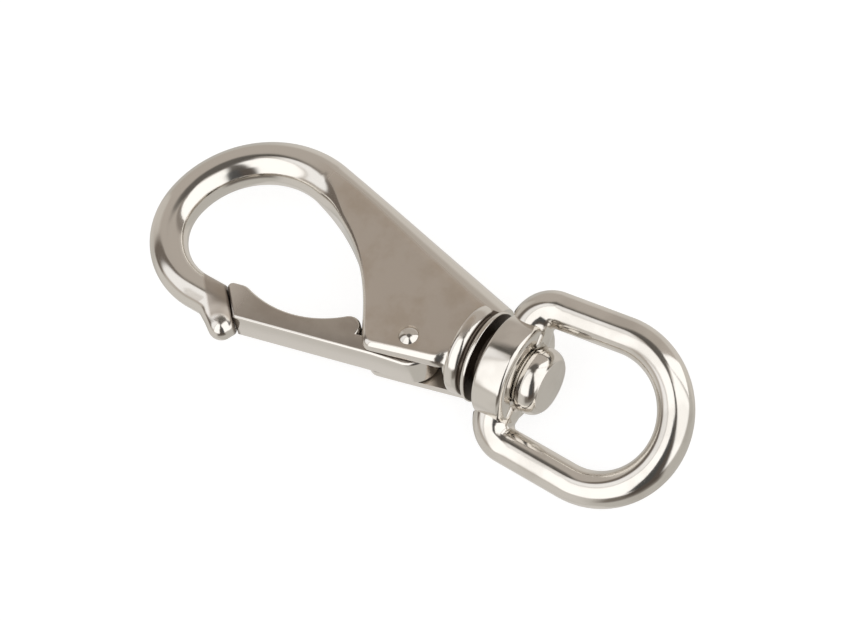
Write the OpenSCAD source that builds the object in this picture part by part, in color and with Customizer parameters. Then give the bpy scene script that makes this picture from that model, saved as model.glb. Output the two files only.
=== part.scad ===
// Swivel-eye snap hook with a sprung thumb gate, in millimetres.
// The origin is the centre of the swivel eye's round end.
// +X runs along the swivel axis, away from the hook. +Z is square to the
// hook's flat side, and the gate is on the -Y side.

/* [Hook bar] */
// Diameter of the bar at the nose
nose_bar_d = 6.4; // [5.9:0.1:6.8]
// Diameter of the bar where it runs into the shank
throat_bar_d = 7.8; // [7.2:0.1:8.4]
// Centre-line radius of the bowl, on the nose side
bowl_r = 12.9; // [12.3:0.1:13.5]
// Centre-line radius of the crown, on the spine side
crown_r = 16.7; // [16:0.1:17.4]
// Distance from the swivel face to the crown's centre
crown_reach = 48.8; // [47.5:0.1:50]
// Height of the crown's centre over the swivel axis
crown_rise = 0.6; // [0.2:0.1:1]
// Length of straight bar before the nose's end face
nose_l = 7.3; // [6.8:0.1:7.8]
// Diameter of the bead under the nose
bead_d = 4.6; // [4:0.1:5.2]

/* [Shank] */
// Thickness of the shank at the collar
shank_t = 11.6; // [10.8:0.1:12.4]
// Thickness of the shank over the gate pivot
pivot_t = 10.9; // [10.2:0.1:11.4]
// Fall of the straight spine towards the collar, in degrees
spine_fall = 15.7; // [15:0.1:16.4]
// Depth of the throat's lower end below the swivel axis
heel_drop = 9.9; // [9.4:0.1:10.4]
// Distance from the collar's face to the throat's lower end
heel_back = 18.3; // [17.4:0.1:19.2]
// Rise of the shank's gate edge towards the collar, in degrees
heel_rise = 12; // [11:0.5:13]
// Radius on the shank's inner and lower edges, on the front
edge_r = 1.5; // [1:0.1:1.6]
// Radius on the same edges, on the back
back_edge_r = 0.5; // [0.4:0.1:1.5]

/* [Collar] */
// Diameter of the collar's rim
collar_d = 16.3; // [15.6:0.1:17]
// Length of the collar
collar_l = 4.6; // [4.2:0.1:5]
// Diameter of the raised thrust face that carries the eye
thrust_d = 10; // [9:0.1:11]

/* [Swivel eye] */
// Distance from the eye's rear face to the centre of its round end
eye_reach = 19.9; // [18.5:0.1:21.5]
// Centre-line radius of the eye's round end
eye_r = 13.1; // [12.4:0.1:13.8]
// Diameter of the eye's bar
eye_bar_d = 6.3; // [5.8:0.1:6.8]
// Diameter of the eye's bar where it joins the boss
arm_bar_d = 7.6; // [6.6:0.1:7.7]
// Slope of each leg out towards the round end, in degrees
leg_flare = 4.1; // [3:0.1:5]
// Centre-line radius of the bend from leg to boss
leg_bend_r = 4.2; // [4.1:0.1:4.6]
// Turn of the eye about the swivel axis as it lies, in degrees
eye_turn = 31; // [20:1:40]
// Diameter of the eye's boss
boss_d = 18.3; // [17.6:0.1:19]
// Length of the eye's boss
boss_l = 5.8; // [5.4:0.1:6.4]
// Diameter of the seat sunk in the boss for the button
seat_d = 12.4; // [12:0.1:13]
// Depth of that seat
seat_depth = 0.8; // [0.5:0.1:1.2]

/* [Swivel pin] */
// Diameter of the pin's shank
pin_d = 6; // [5.4:0.1:6.6]
// Diameter of the button head
button_d = 10.7; // [10.2:0.1:11.2]
// Length of the button's side
button_side = 4.1; // [3.6:0.1:4.6]
// Radius round the edge of the button's face
button_edge_r = 0.9; // [0.7:0.1:1.1]
// Rise of the button's domed face
button_dome = 0.6; // [0.4:0.1:0.8]
// Diameter of the flat inner head
inner_head_d = 6.8; // [6.7:0.1:6.9]
// Thickness of the flat inner head
inner_head_t = 1.2; // [1:0.1:1.4]
// Distance between the collar and the eye
swivel_gap = 2; // [1.6:0.1:2.4]

/* [Gate] */
// Distance from the collar's face back to the gate's pivot
pivot_back = 12.1; // [11.8:0.1:12.6]
// Depth of the gate's pivot below the swivel axis
pivot_drop = 4.9; // [4.7:0.1:5.1]
// Width of the gate
gate_w = 6.3; // [5.9:0.1:6.5]
// Slope of the gate's outer face, in degrees
gate_slope = 10.5; // [10:0.1:11]
// Distance from the pivot to the gate's outer face
gate_web = 4.1; // [3.9:0.1:4.2]
// Radius of the gate's tail round the pivot
tail_r = 4.4; // [4.3:0.1:4.5]
// Height of the gate at its tip
tip_h = 6.4; // [6.2:0.1:6.6]
// Radius of the tip's shoulder
tip_r = 2.8; // [2.4:0.1:3.2]
// Radius of the thumb recess
recess_r = 18.5; // [17.5:0.5:20]
// Distance from the pivot to the rear lobe
lobe_back = 11.4; // [11.2:0.1:11.8]
// Height of the gate at the rear lobe
lobe_h = 6.1; // [5.9:0.1:6.2]
// Radius of the rear lobe
lobe_r = 2.2; // [2:0.1:2.4]
// Height of the gate where the spring enters it
shelf_h = 3.1; // [3:0.1:3.3]

/* [Rivet and spring] */
// Diameter of the gate rivet's shank
rivet_d = 2.6; // [2.2:0.1:3]
// Diameter of the rivet's heads
rivet_head_d = 3.5; // [3.2:0.1:3.8]
// Height of the rivet's heads
rivet_head_h = 0.8; // [0.6:0.1:1]
// Diameter of the spring's wire
wire_d = 0.5; // [0.4:0.05:0.6]
// Outer diameter of the spring
spring_d = 3.7; // [3.4:0.1:3.9]
// Turns of the spring
spring_turns = 7; // [5:1:8]
// Distance from the pivot to the spring's axis
spring_back = 8; // [7.8:0.1:8.2]
// Depth of the spring's pocket in the gate
pocket_depth = 2.2; // [1.8:0.1:2.3]
// Height of the slot's floor over the swivel axis
slot_rise = 2.2; // [2.1:0.1:2.6]

/* [Fits] */
// Clearance on each side of the gate in its slot
slot_gap = 0.45; // [0.3:0.05:0.5]
// Gap between the gate's tip and the nose
tip_gap = 0.4; // [0.3:0.05:0.6]
// Radial clearance of a turning fit
run_gap = 0.08; // [0.05:0.01:0.1]
// Radial clearance of the rivet and the pin where they are fixed
fixed_gap = 0.01; // [0.005:0.005:0.02]
// End clearance where the eye and the spring sit
end_gap = 0.15; // [0.1:0.05:0.2]
// Radial clearance round the spring
spring_gap = 0.2; // [0.15:0.05:0.25]

/* [Hidden] */

PLATED = "#b9b0a6";
POLISHED = "#d3cec8";
SPRING_STEEL = "#6f6a66";
FINE = 72;

// ---- shared places, on the swivel axis with x = 0 at the eye's rear face ----

collar_x = -swivel_gap;
pivot = [collar_x - pivot_back, -pivot_drop];
slot_half = gate_w / 2 + slot_gap;
bore_end_x = collar_x - collar_l;
pin_inner_x = bore_end_x - inner_head_t;
seat_x = boss_l - seat_depth;
button_x = seat_x + end_gap;

function polar(r, a) = [r * cos(a), r * sin(a)];
function mix(a, b, t) = a + (b - a) * t;
function arc_points(c, r, a0, a1, n) =
    [for (i = [0 : n]) c + polar(r, mix(a0, a1, i / n))];
function bezier(p, t) =
    pow(1 - t, 3) * p[0] + 3 * t * pow(1 - t, 2) * p[1]
    + 3 * t * t * (1 - t) * p[2] + pow(t, 3) * p[3];

// ---- hook bar's centre line, from the nose round to the throat ----

NOSE_DIP = 3.5;
BLEND_A = 173.7;
crown_c = [-crown_reach, crown_rise];
bowl_c = crown_c + polar(crown_r - bowl_r, BLEND_A);
bowl_end = bowl_c + polar(bowl_r, 270 - NOSE_DIP);
nose = bowl_end + polar(nose_l, -NOSE_DIP);

// The nose's end face and the gate's tip face share this slope.
FACE_A = -48.5;
face_normal = polar(1, FACE_A + 90);
NOSE_SPARE = 6;

crown_end_a = 90 - spine_fall;
spine_start = crown_c + polar(crown_r + throat_bar_d / 2, crown_end_a);
throat_start = crown_c + polar(crown_r - throat_bar_d / 2, crown_end_a);

// ---- shank outline: straight spine outside, curved throat inside ----

SHANK_END = -0.6;
shank_end_x = collar_x + SHANK_END;
heel = [collar_x - heel_back, -heel_drop];
THROAT_A = -50;
THROAT_LEAD = 17.7;
THROAT_TAIL = 4.4;
HEEL_R = 1.8;
heel_turn = heel_rise - THROAT_A;
heel_cut = HEEL_R * tan(heel_turn / 2);
throat_end = heel - polar(heel_cut, THROAT_A);
throat_curve = [
    throat_start,
    throat_start + polar(THROAT_LEAD, crown_end_a - 90),
    throat_end - polar(THROAT_TAIL, THROAT_A),
    throat_end
];
heel_c = throat_end + polar(HEEL_R, THROAT_A + 90);
lower_end = heel + (shank_end_x - heel[0]) * [1, tan(heel_rise)];

function spine_at(x) = [x, spine_start[1] - (x - spine_start[0]) * tan(spine_fall)];

// A section is its inner and outer points, its half thickness, and the radii
// of its outer edges, its inner front edge and its inner back edge.
function bar_section(c, a, r) = [c - polar(r, a), c + polar(r, a), r, r, r, r];
function bar_r(t) = mix(nose_bar_d, throat_bar_d, t) / 2;

BOWL_STEPS = 16;
CROWN_STEPS = 20;
THROAT_STEPS = 18;
HEEL_STEPS = 5;
LOWER_STEPS = 6;
BOWL_SHARE = 0.35;

nose_sections = [
    for (i = [0 : 2])
        let (t = i / 3)
        bar_section(nose + polar(mix(NOSE_SPARE, -nose_l, t), -NOSE_DIP), 270 - NOSE_DIP,
            bar_r(0))
];
bowl_sections = [
    for (i = [0 : BOWL_STEPS - 1])
        let (t = i / BOWL_STEPS)
        let (a = mix(270 - NOSE_DIP, BLEND_A, t))
        bar_section(bowl_c + polar(bowl_r, a), a, bar_r(BOWL_SHARE * t))
];
crown_sections = [
    for (i = [0 : CROWN_STEPS - 1])
        let (t = i / CROWN_STEPS)
        let (a = mix(BLEND_A, crown_end_a, t))
        bar_section(crown_c + polar(crown_r, a), a, bar_r(mix(BOWL_SHARE, 1, t)))
];

// Along the shank the section grows from the round bar to a slab whose outer
// edge stays full round and whose inner edge tightens to edge_r.
ROUND_FADE = 0.45;
function half_t(x) =
    let (pivot_x = pivot[0])
    let (start_x = spine_start[0])
    x < pivot_x
        ? mix(throat_bar_d, pivot_t, (x - start_x) / (pivot_x - start_x)) / 2
        : mix(pivot_t, shank_t, (x - pivot_x) / (shank_end_x - pivot_x)) / 2;
function shank_section(inner, outer, t) =
    let (h = half_t((inner[0] + outer[0]) / 2))
    let (fade = min(1, t / ROUND_FADE))
    let (ease = pow(fade, 0.7))
    [inner, outer, h, h * mix(1, 0.96, fade), mix(h, edge_r, ease), mix(h, back_edge_r, ease)];

throat_part = 0.62;
heel_part = 0.7;
throat_sections = [
    for (i = [0 : THROAT_STEPS])
        let (t = i / THROAT_STEPS)
        shank_section(bezier(throat_curve, t),
            spine_at(mix(spine_start[0], shank_end_x, throat_part * t)), t)
];
heel_sections = [
    for (i = [1 : HEEL_STEPS])
        let (t = i / HEEL_STEPS)
        shank_section(heel_c + polar(HEEL_R, THROAT_A - 90 + heel_turn * t),
            spine_at(mix(spine_start[0], shank_end_x, mix(throat_part, heel_part, t))), 1)
];
lower_start = heel_c + polar(HEEL_R, heel_rise - 90);
lower_sections = [
    for (i = [1 : LOWER_STEPS])
        let (t = i / LOWER_STEPS)
        shank_section(mix(lower_start, lower_end, t),
            spine_at(mix(spine_start[0], shank_end_x, mix(heel_part, 1, t))), 1)
];
body_sections = concat(nose_sections, bowl_sections, crown_sections,
    throat_sections, heel_sections, lower_sections);

// ---- gate outline in its own axes: the pivot at 0, the tip towards -X ----

GATE_STEP_L = 0.8;
GATE_STEP_X = -5;
TIP_CORNER_R = 0.9;
TIP_FLAT = 1.5;
tip_a = FACE_A - gate_slope;
function in_gate(p) =
    let (d = p - pivot)
    [d * polar(1, gate_slope), d * polar(1, gate_slope + 90)];
tip_p = in_gate(nose + face_normal * tip_gap);
function tip_face_x(y) = tip_p[0] + (y - tip_p[1]) / tan(tip_a);
function beside_tip(r, y) = [tip_face_x(y) + r / cos(tip_a + 90), y];
web_y = -gate_web;
shelf_y = web_y + shelf_h;
tip_corner_c = beside_tip(TIP_CORNER_R, web_y + tip_h - TIP_CORNER_R);
tip_c = [tip_corner_c[0] + TIP_FLAT, web_y + tip_h - tip_r];
lobe_c = [-lobe_back, web_y + lobe_h - lobe_r];

// The recess is one arc tangent to the tip's shoulder and the rear lobe.
lobe_gap = norm(lobe_c - tip_c);
recess_along =
    (pow(lobe_gap, 2) + pow(recess_r + tip_r, 2) - pow(recess_r + lobe_r, 2)) / (2 * lobe_gap);
recess_up = sqrt(pow(recess_r + tip_r, 2) - pow(recess_along, 2));
lobe_dir = (lobe_c - tip_c) / lobe_gap;
recess_c = tip_c + lobe_dir * recess_along + [-lobe_dir[1], lobe_dir[0]] * recess_up;
function angle_of(d) = atan2(d[1], d[0]);

tail_join_a = 180 - asin(shelf_y / tail_r);
lobe_join_a = asin((shelf_y - lobe_c[1]) / lobe_r);
lobe_top_a = angle_of(recess_c - lobe_c);
tip_top_a = angle_of(recess_c - tip_c);
gate_outline = concat(
    [
        [tip_face_x(web_y), web_y],
        [GATE_STEP_X - GATE_STEP_L, web_y],
        [GATE_STEP_X, -tail_r]
    ],
    arc_points([0, 0], tail_r, -90, tail_join_a, 26),
    arc_points(lobe_c, lobe_r, lobe_join_a, lobe_top_a, 8),
    [for (i = [1 : 13]) recess_c + polar(recess_r, mix(lobe_top_a + 180, tip_top_a + 180, i / 14))],
    arc_points(tip_c, tip_r, tip_top_a, 90, 5),
    arc_points(tip_corner_c, TIP_CORNER_R, 90, tip_a + 270, 7)
);

pocket_y = shelf_y - pocket_depth;
spring_hole_d = spring_d + 2 * spring_gap;
SEAT_SINK = 0.9;
seat_y = (slot_rise + pivot_drop + spring_back * sin(gate_slope)) / cos(gate_slope) + SEAT_SINK;
rivet_seat_z = pivot_t / 2 - 0.1;

// ---- shapes shared by the pieces ----

module at_neck() {
    translate([-eye_reach, 0, 0])
        children();
}

module at_pivot() {
    at_neck()
        translate([pivot[0], pivot[1], 0])
            children();
}

// A profile of [radius, x] points turned about the swivel axis.
module turned(profile) {
    at_neck()
        rotate([0, 90, 0])
            rotate_extrude($fn = FINE)
                polygon(profile);
}

// A skin over sections that each have the same number of points.
module skin(rings) {
    n = len(rings[0]);
    last = len(rings) - 1;
    polyhedron(
        points = [for (ring = rings) for (p = ring) p],
        faces = concat(
            [[for (j = [0 : n - 1]) j]],
            [
                for (i = [0 : last - 1])
                    for (j = [0 : n - 1])
                        let (k = (j + 1) % n)
                        each [
                            [i * n + j, (i + 1) * n + j, (i + 1) * n + k],
                            [i * n + j, (i + 1) * n + k, i * n + k]
                        ]
            ],
            [[for (j = [n - 1 : -1 : 0]) last * n + j]]
        ),
        convexity = 8
    );
}

// ---- hook body ----

CORNER_POINTS = 7;
function corner(c, r, a) =
    [for (i = [0 : CORNER_POINTS - 1]) c + polar(r, a + 90 * (i + 0.5) / CORNER_POINTS)];
function section_ring(s) =
    let (w = norm(s[1] - s[0]))
    let (along = (s[1] - s[0]) / w)
    let (h = s[2])
    let (flat = concat(
        corner([s[5], s[5] - h], s[5], 180),
        corner([w - s[3], s[3] - h], s[3], 270),
        corner([w - s[3], h - s[3]], s[3], 0),
        corner([s[4], h - s[4]], s[4], 90)
    ))
    [for (p = flat) [s[0][0] + along[0] * p[0], s[0][1] + along[1] * p[0], p[1]]];

module forged_bar() {
    at_neck()
        skin([for (s = body_sections) section_ring(s)]);
}

// The nose ends in a drop-shaped bead on its outer side.
BEAD_DROP = 2.75;
BEAD_ROOT_BACK = 2.8;
BEAD_ROOT_D = 4.8;
bead_c = nose - face_normal * bead_d / 2 + polar(BEAD_DROP, FACE_A);
bead_root = nose - face_normal * BEAD_ROOT_BACK;
module nose_bead() {
    at_neck()
        hull() {
            translate([bead_c[0], bead_c[1], 0])
                sphere(d = bead_d, $fn = 32);
            translate([bead_root[0], bead_root[1], 0])
                sphere(d = BEAD_ROOT_D, $fn = 32);
        }
}

// The nose's end face, cut square to the face's normal, and the bar's sharp
// corner, cut level with the bead.
NOSE_CORNER_A = 52;
module nose_cut() {
    at_neck() {
        translate([nose[0], nose[1], 0])
            rotate(FACE_A)
                translate([-15, 0, -10])
                    cube([30, 12, 20]);
        translate([bead_c[0], bead_c[1], 0])
            rotate(FACE_A + NOSE_CORNER_A)
                translate([bead_d / 2, -5, -10])
                    cube([5, 10, 20]);
    }
}

// A domed collar, a shallow groove, a thin rim and the raised thrust face.
COLLAR_NECK_D = 10.6;
COLLAR_CREST_D = 15.8;
COLLAR_EDGE_R = 1;
GROOVE_BACK = 1.7;
GROOVE_D = 14.5;
RIM_L = 0.5;
module collar() {
    neck_r = COLLAR_NECK_D / 2;
    crest_r = COLLAR_CREST_D / 2;
    groove_x = collar_x - GROOVE_BACK;
    dome_x = bore_end_x + 0.25;
    dome = concat(
        [
            for (i = [0 : 5])
                let (a = 18 * i)
                [crest_r - COLLAR_EDGE_R * (1 - sin(a)), dome_x + COLLAR_EDGE_R * (1 - cos(a))]
        ],
        [
            for (i = [1 : 6])
                let (a = 15 * i)
                [mix(GROOVE_D / 2, crest_r, cos(a)), mix(dome_x + COLLAR_EDGE_R, groove_x, sin(a))]
        ]
    );
    turned(concat(
        [[0, bore_end_x - 0.5], [neck_r, bore_end_x - 0.5], [neck_r, dome_x]],
        dome,
        [
            [GROOVE_D / 2 + 0.15, groove_x + 0.4],
            [collar_d / 2 - 0.2, collar_x - RIM_L - 0.4],
            [collar_d / 2, collar_x - RIM_L],
            [collar_d / 2, collar_x - 0.2],
            [collar_d / 2 - 0.2, collar_x],
            [thrust_d / 2, collar_x],
            [thrust_d / 2, -end_gap],
            [0, -end_gap]
        ]
    ));
}

// The slot for the gate, with room at its end for the pin's inner head.
SLOT_REACH = 11;
SLOT_DEPTH = 14;
HEAD_ROOM = 0.3;
module gate_slot() {
    head_y = inner_head_d / 2 + HEAD_ROOM;
    far_x = heel[0] - SLOT_REACH;
    at_neck()
        translate([0, 0, -slot_half])
            linear_extrude(2 * slot_half)
                polygon([
                    [bore_end_x, -SLOT_DEPTH],
                    [bore_end_x, head_y],
                    [pin_inner_x - 2 * HEAD_ROOM, head_y],
                    [pin_inner_x - 2 * HEAD_ROOM - (head_y - slot_rise), slot_rise],
                    [far_x, slot_rise],
                    [far_x, -SLOT_DEPTH]
                ]);
}

module along_spring(y) {
    at_pivot()
        rotate(gate_slope)
            translate([-spring_back, y, 0])
                rotate([-90, 0, 0])
                    children();
}

module hook_body() {
    color(PLATED)
        difference() {
            union() {
                forged_bar();
                nose_bead();
                collar();
            }
            nose_cut();
            gate_slot();
            turned([
                [0, bore_end_x - 1],
                [pin_d / 2 + fixed_gap, bore_end_x - 1],
                [pin_d / 2 + fixed_gap, 1],
                [0, 1]
            ]);
            along_spring(seat_y - 3)
                cylinder(d = spring_hole_d, h = 3, $fn = FINE);
            at_pivot()
                cylinder(r = rivet_d / 2 + fixed_gap, h = 2 * shank_t, center = true, $fn = FINE);
            for (side = [0, 1])
                mirror([0, 0, side])
                    at_pivot()
                        translate([0, 0, rivet_seat_z])
                            cylinder(d = rivet_head_d + 0.3, h = 3, $fn = FINE);
        }
}

// ---- swivel pin: one rivet through the neck and the eye ----

module swivel_pin() {
    side_end = button_x + button_side;
    edge_c = [button_d / 2 - 0.15 - button_edge_r, side_end];
    face_r = edge_c[0] + button_edge_r * sin(25);
    face_x = side_end + button_edge_r * cos(25);
    color(POLISHED)
        turned(concat(
            [
                [0, pin_inner_x],
                [inner_head_d / 2 - 0.2, pin_inner_x],
                [inner_head_d / 2, pin_inner_x + 0.2],
                [inner_head_d / 2, bore_end_x],
                [pin_d / 2, bore_end_x],
                [pin_d / 2, button_x],
                [button_d / 2 - 0.4, button_x],
                [button_d / 2, button_x + 0.4]
            ],
            [for (i = [0 : 6]) edge_c + polar(button_edge_r, mix(0, 65, i / 6))],
            [
                for (i = [1 : 6])
                    let (t = i / 6)
                    [face_r * (1 - t), face_x + button_dome * (1 - pow(1 - t, 2))]
            ]
        ));
}

// ---- swivel eye: boss, two bends, two legs and the round end ----

ARM_START = 2;
BOW_SIDES = 24;
BEND_STEPS = 8;
END_STEPS = 36;
arm_x = boss_l / 2;
leg_normal = polar(1, 90 + leg_flare);
leg_start = [eye_reach, 0] + eye_r * leg_normal;
leg_l = (leg_start[0] + leg_bend_r * sin(leg_flare) - arm_x - leg_bend_r) / cos(leg_flare);
bend_c = leg_start - polar(leg_l, leg_flare) - leg_bend_r * leg_normal;

// Each step of the bow's path is its centre, its heading and its radius.
function bow_arc(c, r, a0, a1, r0, r1, n) =
    [
        for (i = [0 : n])
            let (a = mix(a0, a1, i / n))
            [c + polar(r, a), a - 90, mix(r0, r1, i / n)]
    ];
function bow_ring(s) =
    let (side = polar(s[2], s[1] + 90))
    [
        for (k = [0 : BOW_SIDES - 1])
            let (b = 360 * (k + 0.5) / BOW_SIDES)
            [s[0][0] + side[0] * cos(b), s[0][1] + side[1] * cos(b), s[2] * sin(b)]
    ];

module bow() {
    bar_r = eye_bar_d / 2;
    arm_r = arm_bar_d / 2;
    turn_a = 90 + leg_flare;
    skin([
        for (s = concat(
            [[[arm_x, ARM_START], 90, arm_r]],
            bow_arc(bend_c, leg_bend_r, 180, turn_a, arm_r, bar_r, BEND_STEPS),
            bow_arc([eye_reach, 0], eye_r, turn_a, -turn_a, bar_r, bar_r, END_STEPS),
            bow_arc([bend_c[0], -bend_c[1]], leg_bend_r, -turn_a, -180, bar_r, arm_r, BEND_STEPS),
            [[[arm_x, -ARM_START], -270, arm_r]]
        ))
            bow_ring(s)
    ]);
}

module swivel_eye() {
    boss_r = boss_d / 2;
    seat_r = seat_d / 2;
    color(POLISHED)
        difference() {
            union() {
                turned([
                    [0, 0],
                    [boss_r - 0.5, 0],
                    [boss_r, 0.5],
                    [boss_r, boss_l - 0.7],
                    [boss_r - 0.3, boss_l - 0.4],
                    [seat_r + 0.3, boss_l],
                    [0, boss_l]
                ]);
                at_neck()
                    rotate([eye_turn, 0, 0])
                        bow();
            }
            turned([
                [0, -2],
                [boss_r, -2],
                [boss_r, 0],
                [pin_d / 2 + run_gap, 0],
                [pin_d / 2 + run_gap, seat_x],
                [seat_r, seat_x],
                [seat_r, boss_l + 3],
                [0, boss_l + 3]
            ]);
        }
}

// ---- gate ----

module gate() {
    color(PLATED)
        difference() {
            at_pivot()
                rotate(gate_slope)
                    translate([0, 0, -gate_w / 2])
                        linear_extrude(gate_w)
                            polygon(gate_outline);
            at_pivot()
                cylinder(r = rivet_d / 2 + run_gap, h = 2 * gate_w, center = true, $fn = FINE);
            along_spring(pocket_y)
                cylinder(d = spring_hole_d, h = lobe_h, $fn = FINE);
        }
}

// ---- gate rivet ----

HEAD_STEPS = 6;
module gate_rivet() {
    sphere_r = (pow(rivet_head_d / 2, 2) + pow(rivet_head_h, 2)) / (2 * rivet_head_h);
    half_a = asin(rivet_head_d / 2 / sphere_r);
    dome_z = rivet_seat_z + rivet_head_h - sphere_r;
    top = [
        for (i = [0 : HEAD_STEPS])
            [0, dome_z] + polar(sphere_r, mix(90 - half_a, 90, i / HEAD_STEPS))
    ];
    side = concat([[rivet_d / 2, rivet_seat_z]], top);
    color(POLISHED)
        at_pivot()
            rotate_extrude($fn = FINE)
                polygon(concat(
                    [for (i = [len(side) - 1 : -1 : 0]) [side[i][0], -side[i][1]]],
                    side
                ));
}

// ---- gate spring: a coil between the gate's pocket and the slot's floor ----

WIRE_SIDES = 8;
COIL_STEPS = 18;
module gate_spring() {
    low = pocket_y + wire_d / 2 + end_gap / 2;
    high = seat_y - wire_d / 2 - end_gap / 2;
    coil_r = (spring_d - wire_d) / 2;
    steps = round(spring_turns * COIL_STEPS);
    pitch_a = atan((high - low) / (2 * PI * coil_r * spring_turns));
    rings = [
        for (i = [0 : steps])
            let (a = -360 * i / COIL_STEPS)
            let (out = [cos(a), sin(a), 0])
            let (up = [-sin(a) * sin(pitch_a), cos(a) * sin(pitch_a), cos(pitch_a)])
            [
                for (k = [0 : WIRE_SIDES - 1])
                    let (b = 360 * k / WIRE_SIDES)
                    out * coil_r + [0, 0, (high - low) * i / steps]
                    + (out * cos(b) + up * sin(b)) * wire_d / 2
            ]
    ];
    color(SPRING_STEEL)
        along_spring(low)
            skin(rings);
}

hook_body();
swivel_pin();
swivel_eye();
gate();
gate_rivet();
gate_spring();
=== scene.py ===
import math
import bmesh
import bpy
from mathutils import Matrix, Vector


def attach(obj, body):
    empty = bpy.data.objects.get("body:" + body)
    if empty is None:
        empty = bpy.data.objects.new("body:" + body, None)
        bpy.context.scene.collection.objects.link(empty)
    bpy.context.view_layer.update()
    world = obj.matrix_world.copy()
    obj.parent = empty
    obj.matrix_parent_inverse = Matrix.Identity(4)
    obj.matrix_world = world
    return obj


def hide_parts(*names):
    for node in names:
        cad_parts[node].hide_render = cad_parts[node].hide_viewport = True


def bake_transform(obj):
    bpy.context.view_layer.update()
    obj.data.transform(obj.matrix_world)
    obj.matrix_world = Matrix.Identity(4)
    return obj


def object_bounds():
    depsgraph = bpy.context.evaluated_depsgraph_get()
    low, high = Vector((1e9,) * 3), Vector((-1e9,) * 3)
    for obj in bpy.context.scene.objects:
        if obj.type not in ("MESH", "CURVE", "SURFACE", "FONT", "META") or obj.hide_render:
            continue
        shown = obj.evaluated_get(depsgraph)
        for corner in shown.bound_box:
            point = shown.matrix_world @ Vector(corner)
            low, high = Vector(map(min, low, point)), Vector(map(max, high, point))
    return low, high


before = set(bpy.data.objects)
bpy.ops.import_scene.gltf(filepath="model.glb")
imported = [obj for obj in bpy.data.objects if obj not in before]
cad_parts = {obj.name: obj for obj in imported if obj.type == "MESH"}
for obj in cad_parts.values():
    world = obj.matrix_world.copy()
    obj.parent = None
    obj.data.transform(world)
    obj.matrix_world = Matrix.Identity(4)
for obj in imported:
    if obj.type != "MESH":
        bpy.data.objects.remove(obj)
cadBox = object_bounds()

# Lengths are millimetres along the swivel axis, with x = 0 at the eye's rear face.
# toPlace turns them into metres in the part's own frame. Materials work in those metres.
eyeReach = 19.9
toPlace = Matrix.Scale(0.001, 4) @ Matrix.Translation((-eyeReach, 0, 0))


def polar(radius, degrees):
    a = math.radians(degrees)
    return Vector((radius * math.cos(a), radius * math.sin(a), 0))


def turnAbout(axis, degrees, size=4):
    return Matrix.Rotation(math.radians(degrees), size, axis)


def mix(a, b, t):
    return a + (b - a) * t


def ease(t):
    t = max(0, min(1, t))
    return t * t * (3 - 2 * t)


camera = {"place": (0.24886, -0.27547, 0.64390), "lens": 188.8, "sensor": 36,
          "right": (0.83889, 0.52496, -0.14384), "up": (-0.39352, 0.76749, 0.50606)}


def addCamera():
    data = bpy.data.cameras.new("camera")
    data.lens = camera["lens"]
    data.sensor_width = camera["sensor"]
    data.clip_start = 0.01
    right, up = Vector(camera["right"]).normalized(), Vector(camera["up"])
    back = right.cross(up).normalized()
    up = back.cross(right)
    turn = Matrix((right, up, back)).transposed().to_4x4()
    viewer = bpy.data.objects.new("camera", data)
    viewer.matrix_world = Matrix.Translation(camera["place"]) @ turn
    bpy.context.scene.collection.objects.link(viewer)
    bpy.context.scene.camera = viewer


addCamera()
print("camera in place")


class Wire:  # a socket that adds Math nodes when it is used in an expression
    def __init__(self, tree, socket):
        self.tree, self.socket = tree, socket

    def maths(self, operation, *values):
        return node(self.tree, "ShaderNodeMath", {"operation": operation}, dict(enumerate(values)))

    def __add__(self, other):
        return self.maths("ADD", self, other)

    def __radd__(self, other):
        return self.maths("ADD", other, self)

    def __sub__(self, other):
        return self.maths("SUBTRACT", self, other)

    def __rsub__(self, other):
        return self.maths("SUBTRACT", other, self)

    def __mul__(self, other):
        return self.maths("MULTIPLY", self, other)

    def __rmul__(self, other):
        return self.maths("MULTIPLY", other, self)


def node(tree, kind, settings=None, values=None, output=0):
    made = tree.nodes.new(kind)
    for name, value in (settings or {}).items():
        setattr(made, name, value)
    for name, value in (values or {}).items():
        if isinstance(value, Wire):
            tree.links.new(value.socket, made.inputs[name])
        else:
            made.inputs[name].default_value = value
    return Wire(tree, made.outputs[output])


def toOutput(tree, wire, kind="ShaderNodeOutputMaterial"):
    tree.links.new(wire.socket, tree.nodes.new(kind).inputs[0])


def emptyTree(holder):  # the node tree of a material or a world, cleared
    holder.use_nodes = True
    holder.node_tree.nodes.clear()
    return holder.node_tree


def blendColour(tree, factor, a, b):  # 6, 7 and output 2 are the Mix node's colour sockets
    return node(tree, "ShaderNodeMix", {"data_type": "RGBA"}, {0: factor, 6: a, 7: b}, 2)


def rampUp(tree, value, low, high):  # 0 below low, 1 above high, smooth between
    return node(tree, "ShaderNodeMapRange", {"interpolation_type": "SMOOTHSTEP"},
                {0: value, 1: low, 2: high, 3: 0.0, 4: 1.0})


def stepUp(tree, value, place, soft):
    return rampUp(tree, value, place - soft, place + soft)


def between(tree, value, low, high, soft):
    return stepUp(tree, value, low, soft / 2) * (1 - stepUp(tree, value, high, soft / 2))


def partOf(tree, vector, letter):  # one coordinate of a vector
    return node(tree, "ShaderNodeSeparateXYZ", None, {0: vector}, letter)


def measure(tree, operation, *vectors):  # a number from vectors: a dot product, distance or length
    return node(tree, "ShaderNodeVectorMath", {"operation": operation}, dict(enumerate(vectors)), "Value")


def noise(tree, where, scale, detail, roughness=0.5):
    return node(tree, "ShaderNodeTexNoise", None,
                {"Vector": where, "Scale": scale, "Detail": detail, "Roughness": roughness})


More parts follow.
